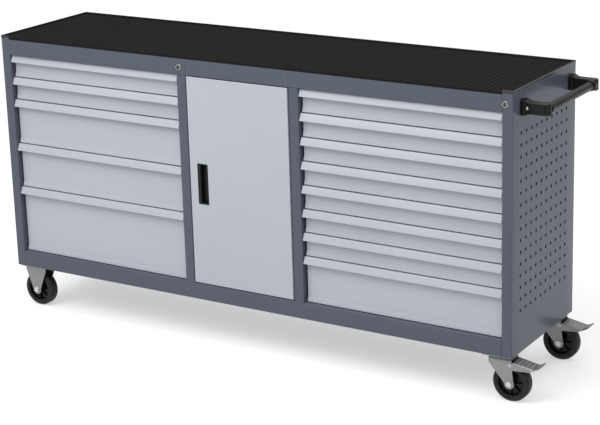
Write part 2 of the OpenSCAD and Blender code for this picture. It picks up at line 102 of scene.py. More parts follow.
AXIS_ORDER = {"x": (1, 2, 0), "y": (0, 2, 1), "z": (0, 1, 2)}


def carried(path, axis, stations):
    """A flat path carried along an axis: a grid whose rows are the path's points and whose columns are the
    stations. The path's two numbers are y and z along x, x and z along y, and x and y along z."""
    first, second, third = AXIS_ORDER[axis]
    stations = np.asarray(stations, float)
    points = np.empty((len(path), len(stations), 3))
    points[..., first] = path[:, None, 0]
    points[..., second] = path[:, None, 1]
    points[..., third] = stations[::-1] if axis == "y" else stations
    return points


def quads(points, round_u=False, round_v=False, keep=None):
    """The four-sided faces between neighbours in a grid of points. A round direction joins its last row to
    its first, and keep is False for the faces that are cut out."""
    rows, columns = points.shape[:2]
    u, v = np.meshgrid(np.arange(rows - (not round_u)), np.arange(columns - (not round_v)), indexing="ij")
    next_u, next_v = (u + 1) % rows, (v + 1) % columns
    faces = np.stack([u * columns + v, next_u * columns + v,
                      next_u * columns + next_v, u * columns + next_v], -1)
    return faces[keep] if keep is not None else faces.reshape(-1, 4)


def sheet_of(points, thickness, round_u=False, keep=None):
    """A surface given its thickness: the grid, its copy moved back along the area-weighted normals, and a
    wall along every free edge, which is an edge that no neighbouring face runs the other way."""
    faces = quads(points, round_u, False, keep)
    flat = points.reshape(-1, 3)
    facing = np.cross(flat[faces[:, 2]] - flat[faces[:, 0]], flat[faces[:, 3]] - flat[faces[:, 1]])
    normals = np.zeros_like(flat)
    np.add.at(normals, faces, facing[:, None, :])
    length = np.linalg.norm(normals, axis=1, keepdims=True)
    inner = flat - thickness * normals / np.maximum(length, 1e-12)
    count = len(flat)
    starts, ends = faces.ravel(), np.roll(faces, -1, axis=1).ravel()
    free = ~np.isin(starts * count + ends, ends * count + starts)
    starts, ends = starts[free], ends[free]
    walls = np.stack([ends, starts, starts + count, ends + count], -1)
    return np.vstack([flat, inner]), [faces, faces[:, ::-1] + count, walls]


def solid_of(points, round_u=True, round_v=False):
    """A closed skin: a grid that is round in u, with its two ends in v capped, or round both ways."""
    columns = points.shape[1]
    rows = np.arange(points.shape[0]) * columns
    caps = [] if round_v else [rows[None, ::-1], rows[None] + columns - 1]
    return points.reshape(-1, 3), [quads(points, round_u, round_v), *caps]


def piece(name, parts, finish, body, stands_for=(), crease=32):
    """One object from its parts, each (points, blocks of faces). Doubles are merged, faces turned outwards,
    and edges that bend by more than the crease angle, in degrees, stay sharp."""
    faces, start = [], 0
    for points, blocks in parts:
        for block in blocks:
            faces += (np.asarray(block) + start).tolist()
        start += len(points)
    mesh = bpy.data.meshes.new(name)
    mesh.from_pydata(np.vstack([points for points, _ in parts]).tolist(), [], faces)
    work = bmesh.new()
    work.from_mesh(mesh)
    bmesh.ops.remove_doubles(work, verts=work.verts, dist=1e-6)
    bmesh.ops.dissolve_degenerate(work, edges=work.edges, dist=1e-7)
    bmesh.ops.recalc_face_normals(work, faces=work.faces)
    work.to_mesh(mesh)
    work.free()
    mesh.shade_smooth()
    mesh.set_sharp_from_angle(angle=math.radians(crease))
    mesh.materials.append(finish.material)
    made = bpy.data.objects.new(name, mesh)
    bpy.context.scene.collection.objects.link(made)
    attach(made, body)
    if stands_for:
        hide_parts(*stands_for)
    return made


class Value:
    """A number that changes over a surface. Arithmetic on it adds the Math nodes."""

    def __init__(self, finish, socket):
        self.finish = finish
        self.socket = socket

    def math(self, operation, first, second=0.0):
        node = self.finish.node("ShaderNodeMath", {"operation": operation}, {0: first, 1: second})
        return Value(self.finish, node.outputs[0])

    def __add__(self, other):
        return self.math("ADD", self, other)

    __radd__ = __add__

    def __mul__(self, other):
        return self.math("MULTIPLY", self, other)

    __rmul__ = __mul__

    def __sub__(self, other):
        return self.math("SUBTRACT", self, other)

    def __rsub__(self, other):
        return self.math("SUBTRACT", other, self)


class Finish:
    """A material round one Principled shader, with the nodes that vary it over the surface."""

    def __init__(self, name, constants):
        self.material = bpy.data.materials.new(name)
        self.material.use_nodes = True
        self.tree = self.material.node_tree
        self.shader = next(n for n in self.tree.nodes if n.type == "BSDF_PRINCIPLED")
        self.place = self.node("ShaderNodeTexCoord").outputs["Object"]
        for key, value in constants.items():
            self.feed(self.shader.inputs[key], value)

    def feed(self, socket, value):
        """Links a Value or a socket to the socket, or sets the socket to a constant."""
        if isinstance(value, (Value, bpy.types.NodeSocket)):
            self.tree.links.new(value.socket if isinstance(value, Value) else value, socket)
        else:
            socket.default_value = (*value, 1) if socket.type == "RGBA" and len(value) == 3 else value

    def node(self, kind, settings=None, sockets=None):
        """A node of that type: its settings first, then its sockets, by name or number."""
        made = self.tree.nodes.new(kind)
        for key, value in (settings or {}).items():
            setattr(made, key, value)
        for key, value in (sockets or {}).items():
            if isinstance(key, str):
                socket = next(s for s in made.inputs if s.enabled and s.name == key)
            else:
                socket = made.inputs[key]
            self.feed(socket, value)
        return made

    def stretched(self, scale):
        """The place on the piece, in metres, times a scale along each axis."""
        return self.node("ShaderNodeMapping", None, {"Vector": self.place, "Scale": scale}).outputs[0]

    def noise(self, size, detail=2.0, stretch=(1, 1, 1)):
        """Cloudy noise from 0 to 1 whose blobs are about that size, in metres."""
        made = self.node("ShaderNodeTexNoise", {"noise_dimensions": "3D"}, {
            "Vector": self.stretched(stretch), "Scale": 1 / size, "Detail": detail})
        return Value(self, made.outputs[0])

    def cells(self, size):
        """Distance to the nearest cell centre, in cells of that size."""
        made = self.node("ShaderNodeTexVoronoi", None, {"Vector": self.place, "Scale": 1 / size})
        return Value(self, made.outputs["Distance"])

    def spread(self, value, low, high, to_low=0.0, to_high=1.0):
        """The value's stretch from low to high, mapped to another range and clamped."""
        made = self.node("ShaderNodeMapRange", {"clamp": True}, {
            "Value": value, "From Min": low, "From Max": high, "To Min": to_low, "To Max": to_high})
        return Value(self, made.outputs[0])

    def axis(self, letter):
        """One coordinate of the place on the piece, in metres."""
        made = self.node("ShaderNodeSeparateXYZ", None, {"Vector": self.place})
        return Value(self, made.outputs[letter])

    def blend(self, share, first, second):
        """The first colour where share is 0 and the second where it is 1."""
        made = self.node("ShaderNodeMix", {"data_type": "RGBA"}, {"Factor": share, "A": first, "B": second})
        return next(s for s in made.outputs if s.enabled)

    def colour(self, value):
        self.feed(self.shader.inputs["Base Color"], value)

    def roughness(self, value):
        self.feed(self.shader.inputs["Roughness"], value)

    def relief(self, height, depth, strength=1.0):
        """Bump from a height of 0 to 1 that stands for that depth, in metres."""
        made = self.node("ShaderNodeBump", None, {
            "Height": height, "Distance": depth, "Strength": strength})
        self.feed(self.shader.inputs["Normal"], made.outputs[0])


def powder_coat(name, shade, gloss_roughness, gloss):
    """Baked powder paint: even colour with faint clouds, the fine orange peel of the cured film, tiny dust
    specks, and a roughness that wanders a little. The gloss is the strength of its reflection."""
    finish = Finish(name, {"Specular IOR Level": gloss})
    clouds = finish.noise(0.35, 3)
    peel = finish.noise(0.0022, 2)
    specks = finish.spread(finish.cells(0.012), 0.03, 0.05, 1, 0)
    darker, lighter = [c * 0.94 for c in shade], [c * 1.05 for c in shade]
    tone = finish.blend(clouds, darker, lighter)
    finish.colour(finish.blend(0.25 * specks, tone, [c * 0.72 for c in shade]))
    finish.roughness(gloss_roughness + 0.06 * (clouds - 0.5) + 0.04 * (peel - 0.5))
    finish.relief(peel, 0.00012, 0.35)
    return finish


body_paint = powder_coat("body_paint", (0.069, 0.078, 0.104), 0.22, 0.18)
sheet = 1.5 * mm
bend = 2.5 * mm
steps = 6
left, front, base = corners_of("side_left")[0]
right, back, top = corners_of("side_right")[1]
post = 35 * mm
rib_depth = 4 * mm
flange_width = 25 * mm
hole_pitch = 38 * mm
hole = 10 * mm
hole_columns = front + 62 * mm + hole_pitch * np.arange(10)
hole_rows = base + 711 * mm - hole_pitch * np.arange(16)[::-1]


def side(mirrored):
    """The left side's plan path, bent and carried up. Grid lines run along the holes' edges, and the faces
    inside the holes are left out. The right side is its mirror image about the middle of the body."""
    path = bent([(left + flange_width, back), (left, back), (left, front), (left + post, front),
                 (left + post, front + flange_width)], bend, steps)
    edges = np.sort(np.concatenate([hole_columns - hole / 2, hole_columns + hole / 2]))[::-1]
    skin = np.column_stack([np.full(len(edges), left), edges])
    path = np.insert(path, steps + 2, skin, axis=0)
    heights = np.sort(np.concatenate([[base, top], hole_rows - hole / 2, hole_rows + hole / 2]))
    middle = (path[1:] + path[:-1]) / 2
    across = np.abs(middle[:, 1, None] - hole_columns).min(1) < hole / 4
    on_skin = np.abs(middle[:, 0] - left) < 1e-6
    upward = np.abs(((heights[1:] + heights[:-1]) / 2)[:, None] - hole_rows).min(1) < hole / 4
    keep = ~((across & on_skin)[:, None] & upward)
    panel_y = corners_of("back_panel")[1][1] - rib_depth - sheet
    flange = np.array([(left + sheet, front + sheet), (left + post, panel_y)])
    plates = [carried(np.array([(flange[0, 1], z), (flange[1, 1], z)])[::way], "x", flange[:, 0])
              for z, way in ((top, -1), (base, 1))]
    grids = [carried(path, "z", heights), *plates]
    if mirrored:
        grids = [grid * (-1, 1, 1) + (left + right, 0, 0) for grid in grids]
    thickness = -sheet if mirrored else sheet
    return [sheet_of(grids[0], thickness, keep=keep), *[sheet_of(grid, thickness) for grid in grids[1:]]]


piece("side_sheet_left", side(False), body_paint, "carcass", ["side_left"])
piece("side_sheet_right", side(True), body_paint, "carcass", ["side_right"])


# ---- Back ----
# The back is one sheet with four upright ribs pressed into it, and an angle along its top under the trim.

def back_sheet():
    """A plan path that steps out and in again at each rib, bent and carried up."""
    low, high = corners_of("back_panel")
    rib_width = 40 * mm
    flat = high[1] - rib_depth - sheet
    bay = corners_of("partition_left")[1][0], corners_of("partition_right")[0][0]
    middles = np.array([(low[0] + bay[0]) / 2, bay[0], bay[1], (bay[1] + high[0]) / 2])
    half = rib_width / 2
    across = np.array([-half, rib_depth - half, half - rib_depth, half])
    outward = np.array([0, rib_depth, rib_depth, 0]) + flat
    path = np.column_stack([(middles[:, None] + across).ravel(), np.tile(outward, len(middles))])
    path = np.vstack([[low[0], flat], path, [high[0], flat]]) + (0, sheet)
    flange = np.array([(flat, top), (back - post, top)])
    return [sheet_of(carried(bent(path[::-1], 3 * mm, 4), "z", [low[2], high[2]]), sheet),
            sheet_of(carried(flange, "x", [left + post, right - post]), sheet)]


piece("back_sheet", back_sheet(), body_paint, "carcass", ["back_panel"])


# ---- Base, fascia and partitions ----
# The floor of the body is a closed folded box. Over the bays run three folded fascia strips with fine seams
# between them, and two folded tubes part the drawers from the door bay. All are welded, then coated.

def folded_box(node, axis):
    """The rounded outline of a node's box, seen along the axis, carried from one end to the other."""
    low, high = corners_of(node)
    first, second, third = AXIS_ORDER[axis]
    outline = [(low[first], low[second]), (high[first], low[second]),
               (high[first], high[second]), (low[first], high[second])]
    grid = carried(bent_loop(outline, bend, steps), axis, [low[third], high[third]])
    return [sheet_of(grid, sheet, round_u=True)]


def fascia_strips():
    """An upright face with a return at its foot, between the posts and the two seams."""
    low, high = corners_of("front_fascia")
    seam = 0.6 * mm
    edges = [low[0], corners_of("partition_left")[1][0], corners_of("partition_right")[0][0],
             high[0] + seam]
    face = bent([(low[1] + 6 * mm, high[2]), (low[1], high[2]), (low[1], low[2]), (high[1], low[2])],
                [1.2 * mm, bend], steps)
    return [sheet_of(carried(face, "x", [a, b - seam]), sheet) for a, b in zip(edges[:-1], edges[1:])]


piece("base_tube", folded_box("base_box", "x"), body_paint, "carcass", ["base_box"])
piece("fascia", fascia_strips(), body_paint, "carcass", ["front_fascia"])
for side_name in ("left", "right"):
    node = f"partition_{side_name}"
    piece(f"post_{side_name}", folded_box(node, "z"), body_paint, "carcass", [node])


def recoat(node, finish):
    """A CAD node keeps its shape and takes a finish."""
    slots = frame["nodes"][node].data.materials
    slots.clear()
    slots.append(finish.material)


recoat("top_deck", body_paint)
recoat("side_liners", body_paint)


# ---- Inner walls, runners, trays and shelf ----
# The runners and the drawer trays are galvanised sheet: a dull silver with the faint flowers of the zinc bath
# and long rolling streaks. The walls that carry the runners take the body paint, above. The shelf is coated
# light grey.

def galvanised(name, shade, spangle):
    """Zinc-dipped or plated steel: crystal flowers of one size, streaks along the rolling direction."""
    finish = Finish(name, {"Metallic": 0.85})
    flowers = finish.cells(spangle)
    streaks = finish.noise(0.004, 3, (1, 0.06, 1))
    clouds = finish.noise(0.09, 3)
    tone = finish.blend(0.5 * flowers + 0.5 * streaks, [c * 0.82 for c in shade], [c * 1.15 for c in shade])
    finish.colour(finish.blend(0.35 * clouds, tone, [c * 0.8 for c in shade]))
    finish.roughness(0.34 + 0.22 * clouds + 0.1 * (streaks - 0.5))
    finish.relief(streaks, 0.00004, 0.4)
    return finish


inner_steel = galvanised("inner_steel", (0.50, 0.51, 0.52), 0.011)
front_paint = powder_coat("front_paint", (0.345, 0.362, 0.400), 0.34, 0.5)
drawers = [name for name in frame["bodies"] if name.startswith("drawer_")]
for node in ["runners", *[f"{name}_tray" for name in drawers]]:
    recoat(node, inner_steel)


def shelf():
    """A flat board with its front and back edges turned down."""
    low, high = corners_of("cupboard_shelf")
    path = bent([(high[1], low[2]), (high[1], high[2]), (low[1], high[2]), (low[1], low[2])], bend, steps)
    return [sheet_of(carried(path, "x", [low[0], high[0]]), sheet)]


piece("shelf", shelf(), front_paint, "carcass", ["cupboard_shelf"])


# ---- Drawer fronts ----
# Each front is a folded face that flares forward at its foot, with a wider sloping lip above it. The lip
# is a second folded strip with a hemmed nose, and fingers go behind it. Light grey powder coat.

lip_over = 4 * mm  # past each end of the face
lip_drop = 24 * mm
lip_top, lip_nose, lip_hem = 10 * mm, 0.5 * mm, 3.5 * mm  # set-backs from the posts
face_back = 19 * mm
flare_out, flare_up = 6 * mm, 20 * mm


def drawer_front(node):
    """Three folded strips carried along x, the face, the lip and a plate inside each end of the face."""
    low, high = corners_of(node)
    face, fold = front + face_back, high[1]
    ends = [low[0] + lip_over, high[0] - lip_over]
    face_path = bent([(face, high[2] - sheet), (face, low[2] + flare_up), (face - flare_out, low[2]),
                      (fold, low[2])], [2 * mm, 1.8 * mm], steps)
    nose = high[2] - lip_drop
    lip_path = bent([(face + sheet, high[2]), (front + lip_top, high[2]), (front + lip_nose, nose),
                     (front + lip_hem, nose - 1 * mm)], [2.6 * mm, 1.2 * mm], steps)
    upright = np.array([(face + sheet, low[2] + sheet), (face + sheet, high[2] - sheet)])
    cheeks = [carried(upright, "x", [x, x + sheet]) for x in (ends[0], ends[1] - sheet)]
    return [sheet_of(carried(face_path, "x", ends), sheet),
            sheet_of(carried(lip_path, "x", [low[0], high[0]]), sheet),
            *[sheet_of(cheek, face + sheet - fold) for cheek in cheeks]]


for name in drawers:
    node = f"{name}_front"
    piece(f"{name}_face", drawer_front(node), front_paint, name, [node])


# ---- Worktop ----
# A moulded black trim runs along both ends and the back, with short returns at the front. A black rubber
# mat with ribs from front to back lies on the deck, and its thin border laps over the trim.

edge_trim = Finish("edge_trim", {"Specular IOR Level": 0.55})
edge_grain = edge_trim.noise(0.0012, 3)
edge_trim.colour(edge_trim.blend(edge_trim.noise(0.05, 3), (0.004, 0.004, 0.004), (0.008, 0.008, 0.007)))
edge_trim.roughness(0.18 + 0.12 * edge_grain)
edge_trim.relief(edge_grain, 0.00006, 0.4)


def swept(profile, path):
    """A closed profile of (inward, up) carried along a plan path to its right, mitred at its corners:
    at a corner the inward step runs along the sum of both sides' normals, over one plus their product."""
    path = np.asarray(path, float)
    along = unit(np.diff(path, axis=0))
    normal = np.column_stack([along[:, 1], -along[:, 0]])
    before, after = np.vstack([normal[:1], normal]), np.vstack([normal, normal[-1:]])
    inward = (before + after) / (1 + (before * after).sum(1, keepdims=True))
    plan = path[None] + profile[:, None, :1] * inward[None]
    heights = np.broadcast_to(profile[:, None, 1:], (*plan.shape[:2], 1))
    return np.concatenate([plan, heights], -1)


rim_top = corners_of("top_rim")[1][2]
rim_wall = 3 * mm
ledge = top + 1.5 * mm
rim_profile = bent_loop([(0, top), (post, top), (post, ledge), (rim_wall, ledge),
                         (rim_wall, rim_top), (0, rim_top)], np.array([0.4, 0.6, 0.6, 0.8, 1.2, 1.2]) * mm, 4)
rim_path = [(left + post, front), (left, front), (left, back),
            (right, back), (right, front), (right - post, front)]
piece("edge_trim", [solid_of(swept(rim_profile, rim_path))], edge_trim, "carcass", ["top_rim"])


rubber = Finish("mat_rubber", {"Specular IOR Level": 0.05})
dust = rubber.noise(0.16, 4)
fine = rubber.noise(0.0015, 2)
crown_tone = rubber.blend(rubber.spread(dust, 0.35, 0.75), (0.0022, 0.0022, 0.0020),
                          (0.0048, 0.0048, 0.0042))
mat_top = corners_of("rubber_mat")[1][2]
groove = 1.1 * mm
in_groove = rubber.spread(rubber.axis("Z"), mat_top - groove + 0.2 * mm, mat_top - 0.2 * mm, 1, 0)
rubber.colour(rubber.blend(in_groove, crown_tone, (0.0100, 0.0100, 0.0088)))
rubber.roughness(0.62 + 0.22 * dust)
rubber.relief(fine, 0.00008, 0.35)


def ribbed_mat():
    """Round the mat run six points for each station along x: its front foot and top, its back top, and the
    step under its border. The stations outside the posts have the border's thin section, and the top height
    follows the ribs: up a short slope, along the crown, down a slope and along the groove."""
    low, high = corners_of("rubber_mat")
    pitch = 20 * mm
    gap = 0.5 * mm
    lap_foot = top + 1.7 * mm
    count = int((high[0] - low[0]) / pitch)
    turns = np.array([0.0, 0.06, 0.54, 0.60])
    rise = np.array([-groove, 0, 0, -groove])
    xs = low[0] + (np.arange(count)[:, None] + turns).ravel() * (high[0] - low[0]) / count
    xs = np.append(xs, high[0])
    rise = np.append(np.tile(rise, count), -groove)
    posts = np.array([left + post + gap, right - post - gap])
    cuts = np.repeat(posts, 2) + np.array([0, 1, -1, 0]) * 1e-5
    order = np.argsort(np.append(xs, cuts))
    rise = np.append(rise, np.interp(cuts, xs, rise))[order]
    xs = np.append(xs, cuts)[order]
    border = (xs < posts[0] + 5e-6) | (xs > posts[1] - 5e-6)
    foot = np.where(border, lap_foot, low[2])
    deck_edge = np.full(len(xs), back - post - gap)
    crown = high[2] + rise
    fronts = np.where(border, front + rim_wall + gap, low[1])
    backs = np.full(len(xs), high[1])
    lap = np.full(len(xs), lap_foot)
    ys = np.stack([fronts, fronts, backs, backs, deck_edge, deck_edge])
    zs = np.stack([foot, crown, crown, lap, lap, foot])
    return [solid_of(np.stack([np.broadcast_to(xs, ys.shape), ys, zs], -1))]


piece("mat", ribbed_mat(), rubber, "carcass", ["rubber_mat"], crease=20)


# ---- Door ----
# The cupboard door is a pressed pan of 1.5 mm steel with a slot for the pull, coated like the drawers. The
# black pull is a moulded cup that clips into the slot, with a lip over one side for the fingertips.

def door():
    """Across and up, the pan follows two bent paths of (place, set-back), and lies back by the larger of
    the two set-backs. Grid lines run along the slot's edges, and the faces inside it are left out."""
    low, high = corners_of("door_panel")
    slot_low, slot_high = corners_of("door_pull")
    rim = 2 * mm

    def turned(start, end, cuts):
        path = bent([(start, high[1]), (start, low[1]), (end, low[1]), (end, high[1])], bend, steps)
        return np.insert(path, steps + 2, np.column_stack([cuts, np.full(2, low[1])]), axis=0)

    across = turned(low[0], high[0], [slot_low[0] + rim, slot_high[0] - rim])
    up = turned(low[2], high[2], [slot_low[2] + rim, slot_high[2] - rim])
    points = np.empty((len(across), len(up), 3))
    points[..., 0] = across[:, None, 0]
    points[..., 1] = np.maximum(across[:, None, 1], up[None, :, 1])
    points[..., 2] = up[None, :, 0]
    keep = np.ones((len(across) - 1, len(up) - 1), bool)
    keep[steps + 2, steps + 2] = False
    return [sheet_of(points, sheet, keep=keep)]


piece("door_pan", door(), front_paint, "door", ["door_panel"])


def moulded_plastic(name, shade, grain, gloss_roughness):
    """Black plastic from a spark-eroded mould: a fine even grain and a slightly patchy gloss."""
    finish = Finish(name, {"Specular IOR Level": 0.22})
    pebbles = finish.cells(grain)
    patches = finish.noise(0.03, 3)
    finish.colour(finish.blend(patches, [c * 0.8 for c in shade], [c * 1.25 for c in shade]))
    finish.roughness(gloss_roughness + 0.14 * (patches - 0.5) + 0.08 * pebbles)
    finish.relief(pebbles, 0.00007, 0.35)
    return finish


black_plastic = moulded_plastic("black_plastic", (0.0050, 0.0050, 0.0042), 0.0011, 0.30)


def rounded_box(low, high, radius, count=5):
    """The corners of a rectangle in its plane, each given an arc."""
    corners = [(low[0], low[1]), (high[0], low[1]), (high[0], high[1]), (low[0], high[1])]
    return bent_loop(corners, radius, count)


def pull_cup():
    """A loft through rounded rectangles: from the cup's back, forward along its outside, round the bezel,
    in through the opening, out under the finger lip and back to the cup's floor."""
    low, high = corners_of("door_pull")
    depth = high[1] - low[1]
    outer_low, outer_high = low[[0, 2]], high[[0, 2]]
    lip = np.array([12, 4]) * mm
    edge = np.array([4, 4]) * mm
    stations = [  # set-back, inset at the low corner, inset at the high corner, corner radius
        (depth, edge / 2, edge / 2, 3 * mm), (1 * mm, edge / 2, edge / 2, 3 * mm),
        (1 * mm, 0 * edge, 0 * edge, 4 * mm), (0.4 * mm, 0 * edge, 0 * edge, 4 * mm),
        (0, 0.15 * edge, 0.15 * edge, 3.6 * mm), (0, lip - 0.6 * mm, edge - 0.6 * mm, 4 * mm),
        (0.6 * mm, lip, edge, 3.5 * mm), (3.4 * mm, lip, edge, 3.5 * mm), (4 * mm, edge, edge, 3 * mm),
        (depth - 3 * mm, edge, edge, 3 * mm), (depth - 2 * mm, edge + 1 * mm, edge + 1 * mm, 2 * mm)]
    rings = [np.insert(rounded_box(outer_low + near, outer_high - far, radius), 1, low[1] + back_by, axis=1)
             for back_by, near, far, radius in stations]
    return [solid_of(np.stack(rings, axis=1))]


piece("pull_cup", pull_cup(), black_plastic, "door", ["door_pull"])


# ---- Locks ----
# Two cam locks with bright plated collars; the collars' colour is painted darker, a painted reflection of
# dark surroundings. The key plug turns in its housing and keeps its real key slot.

def plated(name, shade, gloss_roughness):
    """Bright plating with faint handling marks."""
    finish = Finish(name, {"Metallic": 1.0})
    marks = finish.noise(0.006, 4)
    finish.colour(finish.blend(marks, [c * 0.85 for c in shade], shade))
    finish.roughness(gloss_roughness + 0.2 * (marks - 0.4))
    finish.relief(finish.noise(0.0015, 2), 0.00002, 0.3)
    return finish


# Painted reflection: the collars' plated colour is set well below bright chrome to stand in for dark
# reflections.
collar_plating_painted_reflection = plated("collar_plating_painted_reflection", (0.26, 0.26, 0.255), 0.10)


def turned_part(profile, centre, axis="y", count=48):
    """A profile of (radius, place along the axis) turned about an axis through the centre: around it runs
    the angle, and the two other coordinates are the radius times its cosine and sine."""
    first, second, third = AXIS_ORDER[axis]
    angle = np.linspace(0, 2 * np.pi, count, endpoint=False)[:, None]
    points = np.empty((count, len(profile), 3))
    points[..., first] = centre[first] + profile[:, 0] * np.cos(angle)
    points[..., second] = centre[second] + profile[:, 0] * np.sin(angle)
    points[..., third] = centre[third] + profile[:, 1]
    return points


def lock_collar(centre):
    """A ring with a rolled face over the barrel, which runs back through the sheet."""
    corners = [(6.1, -3.2), (8.6, -2.6), (10.6, -3.4), (12, -1.2), (12, 0), (8, 0), (8, 20), (6.1, 20)]
    radii = [0.2, 1, 0.8, 0.8, 0.1, 0.1, 0.3, 0.3]
    profile = bent_loop(np.array(corners) * mm, np.array(radii) * mm, 4)
    return solid_of(turned_part(profile, centre), round_v=True)


lock_low, lock_high = corners_of("lock_housings")
lock_height = (lock_low[2] + lock_high[2]) / 2
lock_centres = [np.array([sum(c[0] for c in corners_of(f"lock_plug_{s}")) / 2, front, lock_height])
                for s in ("left", "right")]
piece("lock_collars", [lock_collar(centre) for centre in lock_centres], collar_plating_painted_reflection, "carcass",
      ["lock_housings"])
# Painted shade and reflection: the key plugs' plated colour is set very dark to stand in for the shaded key
# slot and dark reflections.
plug_plating_painted_shade = plated("plug_plating_painted_shade", (0.10, 0.10, 0.097), 0.2)
for side_name in ("left", "right"):
    recoat(f"lock_plug_{side_name}", plug_plating_painted_shade)


# ---- Push handle ----
# Two moulded brackets are fixed to the right side. Each has a foot, an arm with a recessed outer face and
# one screw, and a collar at the elbow that holds the steel bar. The bar is coated black.

bar_coating = moulded_plastic("bar_coating", (0.0100, 0.0100, 0.0085), 0.0008, 0.34)
bar_low, bar_high = corners_of("handle_bar")
bar_radius = (bar_high[2] - bar_low[2]) / 2
bar_centre = (bar_low + bar_high) / 2


def slab(outline, axis, low, high, edge, rows=2, edge_steps=4):
    """A plate with rounded edges: the outline drawn in by the edge radius less its sine, at a height of the
    radius less its cosine, at both faces, with rows of points up the wall between."""
    outline = np.asarray(outline, float)
    along = unit(np.roll(outline, -1, 0) - outline)
    normal = np.column_stack([along[:, 1], -along[:, 0]])
    before = np.roll(normal, 1, 0)
    outward = (before + normal) / (1 + (before * normal).sum(1, keepdims=True))
    turn = np.linspace(0, np.pi / 2, edge_steps + 1)
    inset = np.concatenate([edge * (1 - np.sin(turn)), np.zeros(rows), edge * (1 - np.cos(turn))])
    wall = np.linspace(low + edge, high - edge, rows + 2)[1:-1]
    height = np.concatenate([low + edge * (1 - np.cos(turn)), wall, high - edge * (1 - np.sin(turn))])
    flat = outline[:, None] - outward[:, None] * inset[:, None]
    first, second, third = AXIS_ORDER[axis]
    points = np.empty((len(outline), len(height), 3))
    points[..., first] = flat[..., 0]
    points[..., second] = flat[..., 1]
    points[..., third] = height
    return points


def smooth_step(values, low, high):
    """0 below low, 1 above high, and an S curve between."""
    share = np.clip((values - low) / (high - low), 0, 1)
    return share * share * (3 - 2 * share)


def bracket(node, inward):
    """Foot, arm and collar. The arm's plan is straight with a round end, its height grows towards the foot
    with the square of the distance, and its outer face is pressed in behind a border by an S curve."""
    low, high = corners_of(node)
    foot_t, foot_half = 14 * mm, 21 * mm
    arm_half, arm_rise, flare = 16 * mm, 18 * mm, 16 * mm
    press, border = 2.2 * mm, 5 * mm
    height = (low[2] + high[2]) / 2
    middle = low[1] + foot_half if inward > 0 else high[1] - foot_half
    foot = slab(rounded_box((middle - foot_half, low[2]), (middle + foot_half, high[2]), 5 * mm), "x",
                low[0], low[0] + foot_t, 3 * mm)
    end = np.linspace(-np.pi / 2, np.pi / 2, 25)
    straight = np.linspace(low[0], bar_centre[0], 44)
    elbow = np.array([bar_centre[0], middle]) + arm_half * np.column_stack([np.cos(end), np.sin(end)])
    plan = np.vstack([np.column_stack([straight, np.full(44, middle - arm_half)])[:-1], elbow,
                      np.column_stack([straight[::-1], np.full(44, middle + arm_half)])[1:]])
    arm = slab(plan, "z", height - arm_rise, height + arm_rise, 2.5 * mm, rows=24)
    edge = arm_rise - border
    off_middle = np.abs(arm[..., 2] - height)
    inside = (smooth_step(arm[..., 0], low[0] + foot_t, low[0] + foot_t + 2 * mm)
              * (1 - smooth_step(arm[..., 0], bar_centre[0] - 2 * mm, bar_centre[0] + 3 * mm))
              * (1 - smooth_step(off_middle, edge - 1.5 * mm, edge)))
    outer = smooth_step(-inward * (arm[..., 1] - middle), arm_half - 1.5 * mm, arm_half - 1 * mm)
    arm[..., 1] += inward * press * inside * outer
    near = 1 - np.clip((arm[..., 0] - low[0] - foot_t) / flare, 0, 1)
    arm[..., 2] = height + (arm[..., 2] - height) * (1 + near ** 2 * ((high[2] - height) / arm_rise - 1))
    start, reach = 10 * mm, arm_half + 12 * mm
    wall = bar_radius + 3.5 * mm
    profile = bent_loop([(bar_radius, inward * start), (wall, inward * start), (wall, inward * reach),
                         (bar_radius, inward * reach)], np.array([0.5, 0.5, 2, 0.5]) * mm, 4)
    collar = turned_part(profile, np.array([bar_centre[0], middle, bar_centre[2]]))
    return [solid_of(foot), solid_of(arm), solid_of(collar, round_v=True)]


for end_name, inward in (("front", 1), ("rear", -1)):
    node = f"handle_bracket_{end_name}"
    piece(f"bracket_{end_name}", bracket(node, inward), black_plastic, "carcass", [node])

bar_bore = bar_radius - 2 * mm
bar_profile = bent_loop([(bar_bore, bar_low[1]), (bar_radius, bar_low[1]),
                         (bar_radius, bar_high[1]), (bar_bore, bar_high[1])], 0.5 * mm, 3)
bar = turned_part(bar_profile, np.array([bar_centre[0], 0, bar_centre[2]]), count=64)
piece("grip_bar", [solid_of(bar, round_v=True)], bar_coating, "carcass", ["handle_bar"])


def screw_head(centre, axis, outward):
    """A pan head with a hexagon socket: the dome's radius and height follow a quarter ellipse, and the
    socket's rings have six flats, their radius being the apothem over the cosine of the turn from a flat."""
    radius, height, half_flats = 5 * mm, 2.8 * mm, 2.4 * mm
    count = 36
    turn = np.linspace(0, np.pi / 2, 6)
    dome = np.column_stack([radius * (0.45 * np.cos(turn) + 0.55), outward * height * np.sin(turn)])
    socket = np.array([(half_flats, outward * height), (half_flats, outward * height * 0.3)])
    profile = np.vstack([[(radius, 0)], dome, socket])
    points = turned_part(profile, centre, axis, count)
    angle = np.linspace(0, 2 * np.pi, count, endpoint=False)
    flat = 1 / np.cos((angle + np.pi / 6) % (np.pi / 3) - np.pi / 6)
    first, second, _ = AXIS_ORDER[axis]
    for column in (first, second):
        points[:, -2:, column] = centre[column] + (points[:, -2:, column] - centre[column]) * flat[:, None]
    return solid_of(points)


screw_low, screw_high = corners_of("handle_screws")
screw_x = (screw_low[0] + screw_high[0]) / 2
screws = [screw_head(np.array([screw_x, face, bar_centre[2]]), "y", way)
          for face, way in ((screw_low[1] + 3 * mm, -1), (screw_high[1] - 3 * mm, 1))]
bright_zinc = plated("bright_zinc", (0.62, 0.62, 0.61), 0.2)
piece("bracket_screws", screws, bright_zinc, "carcass", ["handle_screws"])


# ---- Casters ----
# Zinc-plated pressed forks under bolting plates. The left pair is fixed; the right pair turns on king
# pins, and each has a brake pedal that tips on two hollow rivets. Hexagon bolts hold the wheels.

